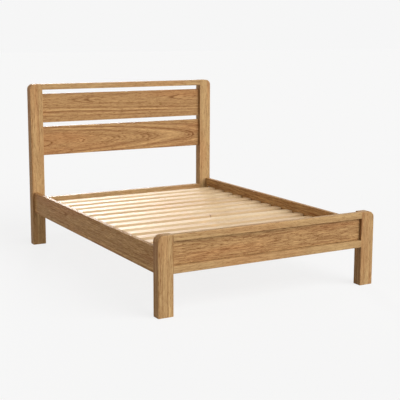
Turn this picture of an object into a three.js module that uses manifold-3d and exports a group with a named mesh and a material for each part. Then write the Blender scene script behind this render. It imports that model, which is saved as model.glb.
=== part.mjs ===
// Slatted oak bed frame, made to come apart into a headboard, a footboard, two side rails and a deck.
// Millimetres. X runs across the bed, Y from the footboard to the headboard, and Z up from the floor.
// The origin lies on the floor under the middle of the frame.

import * as THREE from "three";
import { mergeVertices } from "three/addons/utils/BufferGeometryUtils.js";
import Module from "manifold-3d";

const wasm = await Module();
wasm.setup();

// The clear space inside the frame, and how deep the slats lie in it
const clearWidth = 1375;
const clearLength = 1908;
const deckDepth = 59; // from the top of a side rail down to the tops of the slats

// Fits
const seatGap = 0.3; // between two pieces that rest against or fit in each other
const jointPlay = 1; // spare depth past the end of a tenon, tongue, dowel or stud

// Posts
const postWidth = 92;
const postDepth = 62;
const headboardHeight = 1145;
const footboardHeight = 450;
const postCornerRadius = 38;
const postCornerSteps = 10;

// Worked edges
const arrisRadius = 6; // the soft outer edges of posts and top rails
const arrisSteps = 4;
const easedRadius = 2; // the lightly eased edges of every other board
const easedSteps = 2;

// Side rails
const sideRailThickness = 26;
const sideRailHeight = 146;
const sideRailUnderside = 233;
const sideRailInset = 14; // from a post's outer face in to a side rail's outer face

// Rails that join the posts, flush with the posts' show faces
const crossRailThickness = 36;
const headTopRailHeight = 40;
const headBottomRailHeight = 100;
const footTopRailHeight = 38;
const footBottomRailHeight = 43;
const bottomRailUnderside = 236;
const tenonLength = 40;
const tenonThickness = 12;
const tenonShoulder = 9; // above and below a tenon

// Headboard panels, wide boards tenoned into the posts
const headPanelHeight = 203;
const headPanelThickness = 22;
const headPanelSetback = 20;
const headPanelGap = 30;
const headPanelTenonLength = 20;
const headPanelTenonThickness = 10;
const headPanelShoulder = 15;

// Footboard panel, held in grooves all round
const footPanelThickness = 10;
const footPanelSetback = 18;
const footPanelTongue = 8;

// Slats and the ledges that carry their ends
const slatCount = 14;
const slatWidth = 68;
const slatThickness = 18;
const slatEndRoom = 2; // from a slat's end to the side rail
const slatEdgeMargin = 4; // from the outermost slat's edge to the end of the ledge
const ledgeWidth = 20;
const ledgeHeight = 30;
const ledgeEndRoom = 11; // from a hardware pocket to the end of the ledge

// Centre rail, its brackets and its leg
const centreRailWidth = 44;
const centreRailHeight = 60;
const bracketPlate = 2.5;
const bracketHeight = 38;
const bracketReach = 45;
const bracketEar = 24;
const bracketBend = 1.5; // on the inside of each fold
const bracketHoleRadius = 2.4;
const bracketHoleInset = 10; // from the upper and lower edge of an ear
const bracketEndRoom = 1.5; // from the end of the centre rail to the rail that the bracket is fixed to
const centreLegSize = 44;
const legBoltRadius = 4;
const legBoltInRail = 36;
const legBoltInLeg = 40;

// Levelling foot
const levellingTravel = 12; // up and down from where the foot just meets the floor
const padRadius = 20;
const padRimHeight = 5;
const padRimChamfer = 1;
const padHeight = 14;
const padNeckRadius = 9;
const padSocketDepth = 10;
const levellingStudRadius = 4;
const levellingStudLength = 62;
const insertFlangeRadius = 13;
const insertFlangeThickness = 1.5;
const insertBarrelRadius = 5.5;
const insertBarrelLength = 12;
const padToInsert = 2.5; // room left over the pad when it is screwed right up

// Corner hardware: a stud in the post, drawn up by a nut and a half-moon washer inside the rail
const studRadius = 4;
const studInPost = 32;
const studPastNut = 5;
const studEndChamfer = 1;
const washerRadius = 14;
const washerWidth = 14;
const nutAcrossFlats = 13;
const nutThickness = 6.5;
const pocketFromEnd = 46; // from the end of the rail to the flat of the washer
const pocketSpannerRoom = 24;
const dowelRadius = 5;
const dowelLength = 40;
const dowelFromStud = 46;
const dowelChamfer = 1;

// Round work
const roundSides = 16;
const padSides = 32;
const bendSteps = 3;
const mergeWithin = 1e-4;
const cutPast = 5; // how far a cutting tool runs past the face it enters through

// Sizes that follow from those above
const bedWidth = clearWidth + 2 * (sideRailThickness + sideRailInset);
const postInnerX = bedWidth / 2 - postWidth;
const sideRailX = clearWidth / 2 + sideRailThickness / 2;
const sideRailZ = sideRailUnderside + sideRailHeight / 2;
const sideRailLength = clearLength - 2 * seatGap;
const slatTop = sideRailUnderside + sideRailHeight - deckDepth;
const slatUnderside = slatTop - slatThickness;
const ledgeTop = slatUnderside - seatGap;
const centreRailTop = slatUnderside - seatGap;
const centreRailUnderside = centreRailTop - centreRailHeight;
const headFaceY = clearLength / 2;
const footFaceY = -clearLength / 2 - postDepth;

// Finishes
const oakFrame = new THREE.MeshStandardMaterial({ color: 0xc09a63, roughness: 0.5, metalness: 0 });
const oakPanel = new THREE.MeshStandardMaterial({ color: 0xb0824c, roughness: 0.5, metalness: 0 });
const oakSide = new THREE.MeshStandardMaterial({ color: 0xb58a55, roughness: 0.5, metalness: 0 });
const pine = new THREE.MeshStandardMaterial({ color: 0xe0c698, roughness: 0.7, metalness: 0 });
const beech = new THREE.MeshStandardMaterial({ color: 0xd8b98c, roughness: 0.7, metalness: 0 });
const zincSteel = new THREE.MeshStandardMaterial({ color: 0xb4b7ba, roughness: 0.35, metalness: 1 });
const nylon = new THREE.MeshStandardMaterial({ color: 0x2c2b2a, roughness: 0.6, metalness: 0 });

// From a closed geometry to a solid that can be joined and cut, and back again
function solidFrom(geometry) {
  const bare = geometry.clone();
  bare.deleteAttribute("normal");
  bare.deleteAttribute("uv");
  const merged = mergeVertices(bare, mergeWithin);
  return new wasm.Manifold(
    new wasm.Mesh({
      numProp: 3,
      vertProperties: merged.getAttribute("position").array,
      triVerts: new Uint32Array(merged.index.array),
    }),
  );
}

function geometryFrom(solid) {
  const mesh = solid.getMesh();
  const geometry = new THREE.BufferGeometry();
  geometry.setAttribute("position", new THREE.BufferAttribute(mesh.vertProperties, 3));
  geometry.setIndex(new THREE.BufferAttribute(mesh.triVerts, 1));
  geometry.computeVertexNormals();
  return geometry;
}

function piece(name, shape, material) {
  const geometry = shape.isBufferGeometry ? shape : geometryFrom(shape);
  const mesh = new THREE.Mesh(geometry, material);
  mesh.name = name;
  return mesh;
}

function cutAll(solid, tools) {
  return tools.reduce((left, tool) => left.subtract(tool), solid);
}

// A block between two corners
function block(x0, x1, y0, y1, z0, z1) {
  const box = new THREE.BoxGeometry(Math.abs(x1 - x0), Math.abs(y1 - y0), Math.abs(z1 - z0));
  box.translate((x0 + x1) / 2, (y0 + y1) / 2, (z0 + z1) / 2);
  return solidFrom(box);
}

// A round bar or hole along Y, its ends chamfered where a chamfer is given
function roundBar(radius, y0, y1, chamfer = 0) {
  const profile = [
    [0, y0],
    [radius - chamfer, y0],
    [radius, y0 + chamfer],
    [radius, y1 - chamfer],
    [radius - chamfer, y1],
    [0, y1],
  ];
  const kept = profile.filter(([r, y], i) => i === 0 || r !== profile[i - 1][0] || y !== profile[i - 1][1]);
  return new THREE.LatheGeometry(kept.map(([r, y]) => new THREE.Vector2(r, y)), roundSides);
}

function hole(radius, x, z, y0, y1) {
  return solidFrom(roundBar(radius, y0, y1).translate(x, 0, z));
}

// A rectangle between two corners, its upper and lower corners rounded
function easedRectangle(u0, u1, v0, v1, upper, lower) {
  const shape = new THREE.Shape();
  shape.moveTo(u0 + lower, v0);
  shape.lineTo(u1 - lower, v0);
  shape.absarc(u1 - lower, v0 + lower, lower, -Math.PI / 2, 0, false);
  shape.lineTo(u1, v1 - upper);
  shape.absarc(u1 - upper, v1 - upper, upper, 0, Math.PI / 2, false);
  shape.lineTo(u0 + upper, v1);
  shape.absarc(u0 + upper, v1 - upper, upper, Math.PI / 2, Math.PI, false);
  shape.lineTo(u0, v0 + lower);
  shape.absarc(u0 + lower, v0 + lower, lower, Math.PI, (3 * Math.PI) / 2, false);
  return shape;
}

// A section drawn across an axis and run along it. Across X a section is drawn in Y and Z, across
// Y in X and Z, and across Z in X and Y.
const across = {
  x: new THREE.Matrix4().set(0, 0, 1, 0, 1, 0, 0, 0, 0, 1, 0, 0, 0, 0, 0, 1),
  y: new THREE.Matrix4().set(1, 0, 0, 0, 0, 0, -1, 0, 0, 1, 0, 0, 0, 0, 0, 1),
  z: new THREE.Matrix4(),
};

function runAlong(axis, section, from, to, steps) {
  const run = new THREE.ExtrudeGeometry(section, {
    depth: to - from,
    bevelEnabled: false,
    curveSegments: steps,
  });
  run.applyMatrix4(across[axis]);
  if (axis === "x") run.translate(from, 0, 0);
  if (axis === "y") run.translate(0, to, 0);
  if (axis === "z") run.translate(0, 0, from);
  return solidFrom(run);
}

// What runs between the posts of the headboard and the footboard. Y is measured from the posts'
// show face, and the tenon is centred in the board's thickness.
const headTopRail = {
  name: "headboard_top_rail",
  front: 0,
  thickness: crossRailThickness,
  bottom: headboardHeight - headTopRailHeight,
  top: headboardHeight,
  upperEdge: arrisRadius,
  lowerEdge: easedRadius,
  material: oakFrame,
  tenon: { length: tenonLength, thickness: tenonThickness, under: tenonShoulder, over: tenonShoulder },
};

function headPanel(name, top) {
  return {
    name,
    front: headPanelSetback,
    thickness: headPanelThickness,
    bottom: top - headPanelHeight,
    top,
    upperEdge: easedRadius,
    lowerEdge: easedRadius,
    material: oakPanel,
    tenon: {
      length: headPanelTenonLength,
      thickness: headPanelTenonThickness,
      under: headPanelShoulder,
      over: headPanelShoulder,
    },
  };
}

const upperPanel = headPanel("headboard_upper_panel", headTopRail.bottom - headPanelGap);
const lowerPanel = headPanel("headboard_lower_panel", upperPanel.bottom - headPanelGap);

const headBottomRail = {
  ...headTopRail,
  name: "headboard_bottom_rail",
  bottom: bottomRailUnderside,
  top: bottomRailUnderside + headBottomRailHeight,
  upperEdge: easedRadius,
};

// A footboard rail's shoulder is deeper on the side of the panel's groove, so that the tenon
// keeps clear of the panel's corner.
const grooveDepth = footPanelTongue + jointPlay;
const groovedShoulder = Math.max(tenonShoulder, grooveDepth + jointPlay);

const footTopRail = {
  ...headTopRail,
  name: "footboard_top_rail",
  bottom: footboardHeight - footTopRailHeight,
  top: footboardHeight,
  tenon: { ...headTopRail.tenon, under: groovedShoulder },
};

const footBottomRail = {
  ...headTopRail,
  name: "footboard_bottom_rail",
  bottom: bottomRailUnderside,
  top: bottomRailUnderside + footBottomRailHeight,
  upperEdge: easedRadius,
  tenon: { ...headTopRail.tenon, over: groovedShoulder },
};

const headboardMembers = [headTopRail, upperPanel, lowerPanel, headBottomRail];
const footboardMembers = [footTopRail, footBottomRail];

// The tenon of a member on one side, or the mortise that takes it when room is given
function tenonBlock(member, side, room, endRoom) {
  const { tenon, front, thickness, bottom, top } = member;
  const middle = front + thickness / 2;
  const reach = postInnerX + tenon.length + endRoom;
  const inner = room > 0 ? postInnerX - cutPast : postInnerX - seatGap - cutPast;
  return block(
    side * inner,
    side * reach,
    middle - tenon.thickness / 2 - room,
    middle + tenon.thickness / 2 + room,
    bottom + tenon.under - room,
    top - tenon.over + room,
  );
}

function memberSolid(member) {
  const { front, thickness, bottom, top, upperEdge, lowerEdge } = member;
  const section = easedRectangle(front, front + thickness, bottom, top, upperEdge, lowerEdge);
  const shoulder = postInnerX - seatGap;
  const steps = upperEdge === arrisRadius ? arrisSteps : easedSteps;
  const board = runAlong("x", section, -shoulder, shoulder, steps);
  return [-1, 1].reduce((made, side) => made.add(tenonBlock(member, side, 0, 0)), board);
}

// The footboard panel, or the groove that takes it when room is given
function footPanelBlock(room, endRoom) {
  const halfWidth = postInnerX + footPanelTongue + endRoom;
  return block(
    -halfWidth,
    halfWidth,
    footPanelSetback - room,
    footPanelSetback + footPanelThickness + room,
    footBottomRail.top - footPanelTongue - endRoom,
    footTopRail.bottom + footPanelTongue + endRoom,
  );
}

// A post's outline is run across its depth with soft edges all round. It is drawn past the inner
// face and the floor and then cut back, which leaves those edges square.
function postSolid(side, height) {
  const overrun = arrisRadius + cutPast;
  const outer = bedWidth / 2;
  const inner = postInnerX - overrun;
  const outline = new THREE.Shape();
  outline.moveTo(inner, -overrun);
  outline.lineTo(outer, -overrun);
  outline.lineTo(outer, height - postCornerRadius);
  outline.absarc(
    outer - postCornerRadius,
    height - postCornerRadius,
    postCornerRadius,
    0,
    Math.PI / 2,
    false,
  );
  outline.lineTo(inner, height);
  const points = outline.getPoints(postCornerSteps).map((p) => new THREE.Vector2(side * p.x, p.y));
  const run = new THREE.ExtrudeGeometry(new THREE.Shape(points), {
    depth: postDepth - 2 * arrisRadius,
    bevelThickness: arrisRadius,
    bevelSize: arrisRadius,
    bevelOffset: -arrisRadius,
    bevelSegments: arrisSteps,
  });
  run.applyMatrix4(across.y).translate(0, postDepth - arrisRadius, 0);
  const keep = block(
    side * postInnerX,
    side * (outer + cutPast),
    -cutPast,
    postDepth + cutPast,
    0,
    height + cutPast,
  );
  return solidFrom(run).intersect(keep);
}

// Holes for a side rail's stud and dowels. They enter the head posts' show faces and the foot
// posts' backs.
function sideRailHoles(side, entryY, into) {
  const deep = (length) => entryY + into * (length + jointPlay);
  const from = entryY - into * cutPast;
  const span = (length) => [Math.min(from, deep(length)), Math.max(from, deep(length))];
  return [
    hole(studRadius + seatGap, side * sideRailX, sideRailZ, ...span(studInPost)),
    ...[-1, 1].map((up) =>
      hole(
        dowelRadius + seatGap,
        side * sideRailX,
        sideRailZ + up * dowelFromStud,
        ...span(dowelLength / 2),
      ),
    ),
  ];
}

function headboard() {
  const group = new THREE.Group();
  for (const [side, word] of [[-1, "left"], [1, "right"]]) {
    const mortises = headboardMembers.map((m) => tenonBlock(m, side, seatGap, jointPlay));
    const post = cutAll(postSolid(side, headboardHeight), [...mortises, ...sideRailHoles(side, 0, 1)]);
    group.add(piece("headboard_post_" + word, post, oakFrame));
  }
  for (const member of headboardMembers) {
    group.add(piece(member.name, memberSolid(member), member.material));
  }
  group.position.y = headFaceY;
  return group;
}

function footboard() {
  const group = new THREE.Group();
  const groove = footPanelBlock(seatGap, jointPlay);
  for (const [side, word] of [[-1, "left"], [1, "right"]]) {
    const mortises = footboardMembers.map((m) => tenonBlock(m, side, seatGap, jointPlay));
    const holes = sideRailHoles(side, postDepth, -1);
    const post = cutAll(postSolid(side, footboardHeight), [...mortises, groove, ...holes]);
    group.add(piece("footboard_post_" + word, post, oakFrame));
  }
  for (const member of footboardMembers) {
    const shoulder = postInnerX - seatGap;
    const within = block(
      -shoulder,
      shoulder,
      0,
      postDepth,
      footBottomRail.top - grooveDepth,
      footTopRail.bottom + grooveDepth,
    );
    const rail = memberSolid(member).subtract(groove.intersect(within));
    group.add(piece(member.name, rail, member.material));
  }
  group.add(piece("footboard_panel", footPanelBlock(0, 0), oakPanel));
  group.position.y = footFaceY;
  return group;
}

// A pocket in the rail's inner face: round where it takes the half-moon washer, on the side of the
// rail's end, and square behind for the nut and a spanner
const pocketRadius = washerRadius + seatGap;
const pocketEnd = pocketFromEnd + pocketSpannerRoom;

function pocketTool(end) {
  const shape = new THREE.Shape();
  shape.moveTo(-end * pocketSpannerRoom, -pocketRadius);
  shape.lineTo(0, -pocketRadius);
  shape.absarc(0, 0, pocketRadius, -Math.PI / 2, Math.PI / 2, end < 0);
  shape.lineTo(-end * pocketSpannerRoom, pocketRadius);
  const halfWidth = washerWidth / 2 + seatGap;
  const tool = runAlong("x", shape, -halfWidth, sideRailThickness / 2 + cutPast, roundSides / 4);
  return tool.translate([0, end * (clearLength / 2 - pocketFromEnd), 0]);
}

// A side rail about its own middle, with its inner face on +X. The other side's rail is the same
// board turned round.
function sideRailSolid() {
  const halfThick = sideRailThickness / 2;
  const halfHigh = sideRailHeight / 2;
  const section = easedRectangle(-halfThick, halfThick, -halfHigh, halfHigh, easedRadius, easedRadius);
  const board = runAlong("y", section, -sideRailLength / 2, sideRailLength / 2, easedSteps);
  const tools = [-1, 1].flatMap((end) => {
    const face = (end * clearLength) / 2;
    const span = (depth) => [
      Math.min(face + end * cutPast, face - end * depth),
      Math.max(face + end * cutPast, face - end * depth),
    ];
    return [
      pocketTool(end),
      hole(studRadius + seatGap, 0, 0, ...span(pocketFromEnd)),
      hole(dowelRadius + seatGap, 0, dowelFromStud, ...span(dowelLength / 2 + jointPlay)),
      hole(dowelRadius + seatGap, 0, -dowelFromStud, ...span(dowelLength / 2 + jointPlay)),
    ];
  });
  return cutAll(board, tools);
}

const ledgeLength = clearLength - 2 * (pocketEnd + ledgeEndRoom);

function ledgeSolid() {
  const inner = sideRailThickness / 2 + seatGap;
  const top = ledgeTop - sideRailZ;
  const section = easedRectangle(inner, inner + ledgeWidth, top - ledgeHeight, top, easedRadius, easedRadius);
  return runAlong("y", section, -ledgeLength / 2, ledgeLength / 2, easedSteps);
}

// The stud and its washer and nut, with Y running from the joint into the post
const nutFace = pocketFromEnd + seatGap;
const studBack = -(nutFace + nutThickness + studPastNut);

function washerSolid() {
  const half = new THREE.Shape();
  half.absarc(0, 0, washerRadius, -Math.PI / 2, Math.PI / 2, false);
  const washer = runAlong("x", half, -washerWidth / 2, washerWidth / 2, roundSides / 2);
  const bore = hole(studRadius + seatGap, 0, 0, -cutPast, washerRadius + cutPast);
  return washer.subtract(bore).translate([0, -pocketFromEnd, 0]);
}

function nutSolid() {
  const corner = nutAcrossFlats / 2 / Math.cos(Math.PI / 6);
  const hexagon = new THREE.CylinderGeometry(corner, corner, nutThickness, 6);
  hexagon.translate(0, -nutFace - nutThickness / 2, 0);
  const bore = hole(studRadius + seatGap, 0, 0, -nutFace - nutThickness - cutPast, -nutFace + cutPast);
  return solidFrom(hexagon).subtract(bore);
}

function cornerHardware(corner) {
  const group = new THREE.Group();
  const stud = roundBar(studRadius, studBack, studInPost, studEndChamfer);
  group.add(piece("bed_stud_" + corner, stud, zincSteel));
  group.add(piece("bed_washer_" + corner, washerSolid(), zincSteel));
  group.add(piece("bed_nut_" + corner, nutSolid(), zincSteel));
  for (const [up, word] of [[1, "upper"], [-1, "lower"]]) {
    const dowel = roundBar(dowelRadius, -dowelLength / 2, dowelLength / 2, dowelChamfer);
    const mesh = piece("dowel_" + word + "_" + corner, dowel, beech);
    mesh.position.z = up * dowelFromStud;
    group.add(mesh);
  }
  return group;
}

function sides() {
  const group = new THREE.Group();
  for (const [side, word] of [[-1, "left"], [1, "right"]]) {
    const rail = new THREE.Group();
    rail.add(piece("side_rail_" + word, sideRailSolid(), oakSide));
    rail.add(piece("slat_ledge_" + word, ledgeSolid(), pine));
    rail.position.set(side * sideRailX, 0, sideRailZ);
    rail.rotation.z = side > 0 ? Math.PI : 0;
    group.add(rail);
    for (const [end, at] of [[1, "head"], [-1, "foot"]]) {
      const hardware = cornerHardware(at + "_" + word);
      hardware.position.set(side * sideRailX, (end * clearLength) / 2, sideRailZ);
      hardware.rotation.z = end > 0 ? 0 : Math.PI;
      group.add(hardware);
    }
  }
  return group;
}

function slats() {
  const group = new THREE.Group();
  const halfLength = clearWidth / 2 - slatEndRoom;
  const section = easedRectangle(
    -slatWidth / 2,
    slatWidth / 2,
    slatUnderside,
    slatTop,
    easedRadius,
    easedRadius,
  );
  const slat = geometryFrom(runAlong("x", section, -halfLength, halfLength, easedSteps));
  const first = -ledgeLength / 2 + slatEdgeMargin + slatWidth / 2;
  const pitch = (-2 * first) / (slatCount - 1);
  for (let i = 0; i < slatCount; i += 1) {
    const mesh = piece("slat_" + String(i + 1).padStart(2, "0"), slat, pine);
    mesh.position.y = first + i * pitch;
    group.add(mesh);
  }
  return group;
}

// A hanger of folded plate. Its ears lie on the rail behind it, at y = 0, and it reaches along +Y.
// A channel carries the centre rail, and above its lower folds the cheeks turn out into the ears.
const bendOutside = bracketBend + bracketPlate;
const bracketInner = centreRailWidth / 2 + seatGap;
const bracketOuter = bracketInner + bracketPlate;
const bracketBottom = -seatGap - bracketPlate;
const bracketTop = bracketBottom + bracketHeight;

function bracketChannel() {
  const foldX = bracketOuter - bendOutside;
  const foldZ = bracketBottom + bendOutside;
  const section = new THREE.Shape();
  section.moveTo(-bracketOuter, bracketTop);
  section.lineTo(-bracketOuter, foldZ);
  section.absarc(-foldX, foldZ, bendOutside, Math.PI, (3 * Math.PI) / 2, false);
  section.lineTo(foldX, bracketBottom);
  section.absarc(foldX, foldZ, bendOutside, -Math.PI / 2, 0, false);
  section.lineTo(bracketOuter, bracketTop);
  section.lineTo(bracketInner, bracketTop);
  section.lineTo(bracketInner, foldZ);
  section.absarc(foldX, foldZ, bracketBend, 0, -Math.PI / 2, true);
  section.lineTo(-foldX, foldZ - bracketBend);
  section.absarc(-foldX, foldZ, bracketBend, (3 * Math.PI) / 2, Math.PI, true);
  section.lineTo(-bracketInner, bracketTop);
  return runAlong("y", section, bendOutside, bracketReach, bendSteps);
}

function bracketEarSolid(side) {
  const foldX = bracketOuter + bracketBend;
  const earEnd = bracketOuter + bracketEar;
  const outline = new THREE.Shape();
  outline.moveTo(foldX, 0);
  outline.lineTo(earEnd, 0);
  outline.lineTo(earEnd, bracketPlate);
  outline.lineTo(foldX, bracketPlate);
  outline.absarc(foldX, bendOutside, bracketBend, (3 * Math.PI) / 2, Math.PI, true);
  outline.lineTo(bracketOuter, bendOutside + cutPast);
  outline.lineTo(bracketInner, bendOutside + cutPast);
  outline.lineTo(bracketInner, bendOutside);
  outline.absarc(foldX, bendOutside, bendOutside, Math.PI, (3 * Math.PI) / 2, false);
  const points = outline.getPoints(bendSteps).map((p) => new THREE.Vector2(side * p.x, p.y));
  const section = new THREE.Shape(points);
  const ear = runAlong("z", section, bracketBottom + bendOutside, bracketTop, bendSteps);
  const holes = [bracketBottom + bracketHoleInset, bracketTop - bracketHoleInset].map((z) =>
    hole(bracketHoleRadius, side * (bracketOuter + bracketEar / 2), z, -cutPast, bracketPlate + cutPast),
  );
  return cutAll(ear, holes);
}

function bracketSolid() {
  return [-1, 1].reduce((made, side) => made.add(bracketEarSolid(side)), bracketChannel());
}

// The centre rail runs from the back of the footboard's bottom rail to the headboard's
const centreRailBack = footFaceY + crossRailThickness;
const centreRailFront = headFaceY;

function centreRail() {
  const group = new THREE.Group();
  const half = centreRailWidth / 2;
  const section = easedRectangle(-half, half, 0, centreRailHeight, easedRadius, easedRadius);
  const from = centreRailBack + bracketEndRoom;
  const to = centreRailFront - bracketEndRoom;
  const bore = roundBar(legBoltRadius + seatGap, -cutPast, legBoltInRail + jointPlay);
  const rail = runAlong("y", section, from, to, easedSteps).subtract(solidFrom(bore.rotateX(Math.PI / 2)));
  group.add(piece("centre_rail", rail, pine));
  for (const [at, y, turn] of [
    ["foot", centreRailBack + seatGap, 0],
    ["head", centreRailFront - seatGap, Math.PI],
  ]) {
    const bracket = piece("centre_rail_bracket_" + at, bracketSolid(), zincSteel);
    bracket.position.y = y;
    bracket.rotation.z = turn;
    group.add(bracket);
  }
  group.position.z = centreRailUnderside;
  return group;
}

// The leg and its round pieces are made along Y and stood up by their group
const legTop = centreRailUnderside - seatGap;
const legBottom = padHeight + levellingTravel + padToInsert + insertFlangeThickness;
const levellingStudTop = padHeight - padSocketDepth + levellingStudLength;

function centreLeg() {
  const group = new THREE.Group();
  const half = centreLegSize / 2;
  const section = easedRectangle(-half, half, -half, half, easedRadius, easedRadius);
  const body = runAlong("y", section, legBottom, legTop, easedSteps);
  const studRoom = levellingStudTop + levellingTravel + jointPlay;
  const barrelRoom = legBottom + insertBarrelLength + jointPlay;
  const leg = cutAll(body, [
    hole(levellingStudRadius + jointPlay, 0, 0, legBottom - cutPast, studRoom),
    hole(insertBarrelRadius + seatGap, 0, 0, legBottom - cutPast, barrelRoom),
    hole(legBoltRadius + seatGap, 0, 0, legTop - legBoltInLeg - jointPlay, legTop + cutPast),
  ]);
  group.add(piece("centre_leg", leg, pine));

  const bolt = roundBar(legBoltRadius, legTop - legBoltInLeg, legTop + legBoltInRail, studEndChamfer);
  group.add(piece("centre_leg_bolt", bolt, zincSteel));

  const bore = levellingStudRadius + seatGap;
  const flangeTop = legBottom - seatGap;
  const flangeUnder = flangeTop - insertFlangeThickness;
  const barrelTop = legBottom + insertBarrelLength;
  const insertProfile = [
    [bore, flangeUnder],
    [insertFlangeRadius, flangeUnder],
    [insertFlangeRadius, flangeTop],
    [insertBarrelRadius, flangeTop],
    [insertBarrelRadius, barrelTop],
    [bore, barrelTop],
    [bore, flangeUnder],
  ].map(([r, y]) => new THREE.Vector2(r, y));
  group.add(piece("leg_insert", new THREE.LatheGeometry(insertProfile, roundSides), zincSteel));

  const padProfile = [
    [0, 0],
    [padRadius - padRimChamfer, 0],
    [padRadius, padRimChamfer],
    [padRadius, padRimHeight],
    [padNeckRadius, padHeight],
    [levellingStudRadius + seatGap, padHeight],
    [levellingStudRadius + seatGap, padHeight - padSocketDepth],
    [0, padHeight - padSocketDepth],
  ].map(([r, y]) => new THREE.Vector2(r, y));
  group.add(piece("levelling_foot_pad", new THREE.LatheGeometry(padProfile, padSides), nylon));

  const studFoot = padHeight - padSocketDepth + seatGap;
  const stud = roundBar(levellingStudRadius, studFoot, levellingStudTop, studEndChamfer);
  group.add(piece("levelling_foot_stud", stud, zincSteel));

  group.rotation.x = Math.PI / 2;
  return group;
}

const bed = new THREE.Group();
bed.add(headboard(), footboard(), sides(), slats(), centreRail(), centreLeg());

export default bed;
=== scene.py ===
from math import pi, radians

import bmesh
import bpy
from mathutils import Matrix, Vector


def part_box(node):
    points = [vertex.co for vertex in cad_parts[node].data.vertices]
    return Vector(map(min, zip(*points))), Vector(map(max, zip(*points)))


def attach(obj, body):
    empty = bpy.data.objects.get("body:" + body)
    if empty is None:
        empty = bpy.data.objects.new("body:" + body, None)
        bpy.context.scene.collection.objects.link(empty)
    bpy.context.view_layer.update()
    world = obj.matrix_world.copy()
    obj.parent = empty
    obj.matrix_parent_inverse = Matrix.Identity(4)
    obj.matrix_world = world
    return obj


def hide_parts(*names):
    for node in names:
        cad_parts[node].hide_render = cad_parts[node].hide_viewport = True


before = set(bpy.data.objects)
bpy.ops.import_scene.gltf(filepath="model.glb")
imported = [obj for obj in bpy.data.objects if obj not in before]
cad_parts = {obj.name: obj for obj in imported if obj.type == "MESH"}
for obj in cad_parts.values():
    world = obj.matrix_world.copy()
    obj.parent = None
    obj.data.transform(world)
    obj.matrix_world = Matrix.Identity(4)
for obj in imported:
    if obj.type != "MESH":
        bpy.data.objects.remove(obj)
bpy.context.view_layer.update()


# Headboard posts. Solid oak, glued up from upright staves, planed square and rounded over at the
# outer top corner. Mortises take the rails and boards between the posts, and the three holes in
# each show face take a side rail's stud and its two dowels.

post_corner = 0.038
corner_steps = 16
soft_arris = 0.006
arris_steps = 5
eased_arris = 0.0012
eased_steps = 2
fit = 0.0003
play = 0.001
stud_radius = 0.004
stud_in_post = 0.032
dowel_radius = 0.005
dowel_reach = 0.020
dowel_from_stud = 0.046

# Each tenon's thickness, its length, and the shoulders under and over it
tenons = {
    "headboard_top_rail": (0.012, 0.040, 0.009, 0.009),
    "headboard_upper_panel": (0.010, 0.020, 0.015, 0.015),
    "headboard_lower_panel": (0.010, 0.020, 0.015, 0.015),
    "headboard_bottom_rail": (0.012, 0.040, 0.009, 0.009),
    "footboard_top_rail": (0.012, 0.040, 0.010, 0.009),
    "footboard_bottom_rail": (0.012, 0.040, 0.009, 0.010),
}
post_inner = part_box("headboard_post_right")[0].x
bed_half_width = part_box("headboard_post_right")[1].x
post_width = bed_half_width - post_inner
stave_width = post_width / 3
rail_low, rail_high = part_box("side_rail_right")
side_rail_middle = (rail_low.x + rail_high.x) / 2
joint_height = (rail_low.z + rail_high.z) / 2

# How close two places are that count as one, how much of a direction lies along an axis that it
# follows or is square to, and how close corners are that are merged
same_place = 2e-5
aligned = 0.99
square = 0.01
merge_within = 2e-6

# How far a cutting tool starts outside the wood, and how far a tenon runs back into its board
cut_past = 0.005
tenon_sunk = 0.003


def near(a, b):
    """True where two places along an axis are one."""
    return abs(a - b) < same_place


def alone(piece):
    """Makes a piece the only one that an operator acts on."""
    bpy.ops.object.select_all(action="DESELECT")
    piece.select_set(True)
    bpy.context.view_layer.objects.active = piece


def settle(piece):
    """Puts a piece's place, turn and size into its mesh."""
    alone(piece)
    bpy.ops.object.transform_apply(location=True, rotation=True, scale=True)
    return piece


def block(name, corner, opposite):
    """A squared blank between two corners."""
    low = Vector(map(min, corner, opposite))
    high = Vector(map(max, corner, opposite))
    bpy.ops.object.select_all(action="DESELECT")
    bpy.ops.mesh.primitive_cube_add(size=1, location=(low + high) / 2)
    blank = bpy.context.object
    blank.name = blank.data.name = name
    blank.scale = high - low
    return settle(blank)


def pick(piece, kind, test):
    """Opens a piece for editing with the edges or faces selected that pass a test of their
    middle and their direction, which for a face is its normal."""
    alone(piece)
    bpy.ops.object.mode_set(mode="EDIT")
    bpy.ops.mesh.select_mode(type=kind)
    bpy.ops.mesh.select_all(action="DESELECT")
    shape = bmesh.from_edit_mesh(piece.data)
    for part in list(shape.edges if kind == "EDGE" else shape.faces):
        points = [corner.co for corner in part.verts]
        middle = sum(points, Vector()) / len(points)
        way = part.normal if kind == "FACE" else (points[1] - points[0]).normalized()
        if test(middle, way):
            part.select_set(True)
    bmesh.update_edit_mesh(piece.data)


def soften(piece, radius, segments, test):
    """Rounds over the edges that pass a test."""
    pick(piece, "EDGE", test)
    bpy.ops.mesh.bevel(offset=radius, segments=segments, affect="EDGES")
    bpy.ops.object.mode_set(mode="OBJECT")


def work(piece, tool, how="DIFFERENCE"):
    """Cuts a tool's shape out of a piece, or joins it on, and merges what then coincides."""
    cut = piece.modifiers.new("work", "BOOLEAN")
    cut.object = tool
    cut.operation = how
    cut.solver = "EXACT"
    alone(piece)
    bpy.ops.object.modifier_apply(modifier=cut.name)
    bpy.ops.object.mode_set(mode="EDIT")
    bpy.ops.mesh.select_all(action="SELECT")
    bpy.ops.mesh.remove_doubles(threshold=merge_within)
    bpy.ops.object.mode_set(mode="OBJECT")
    bpy.data.objects.remove(tool)


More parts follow.
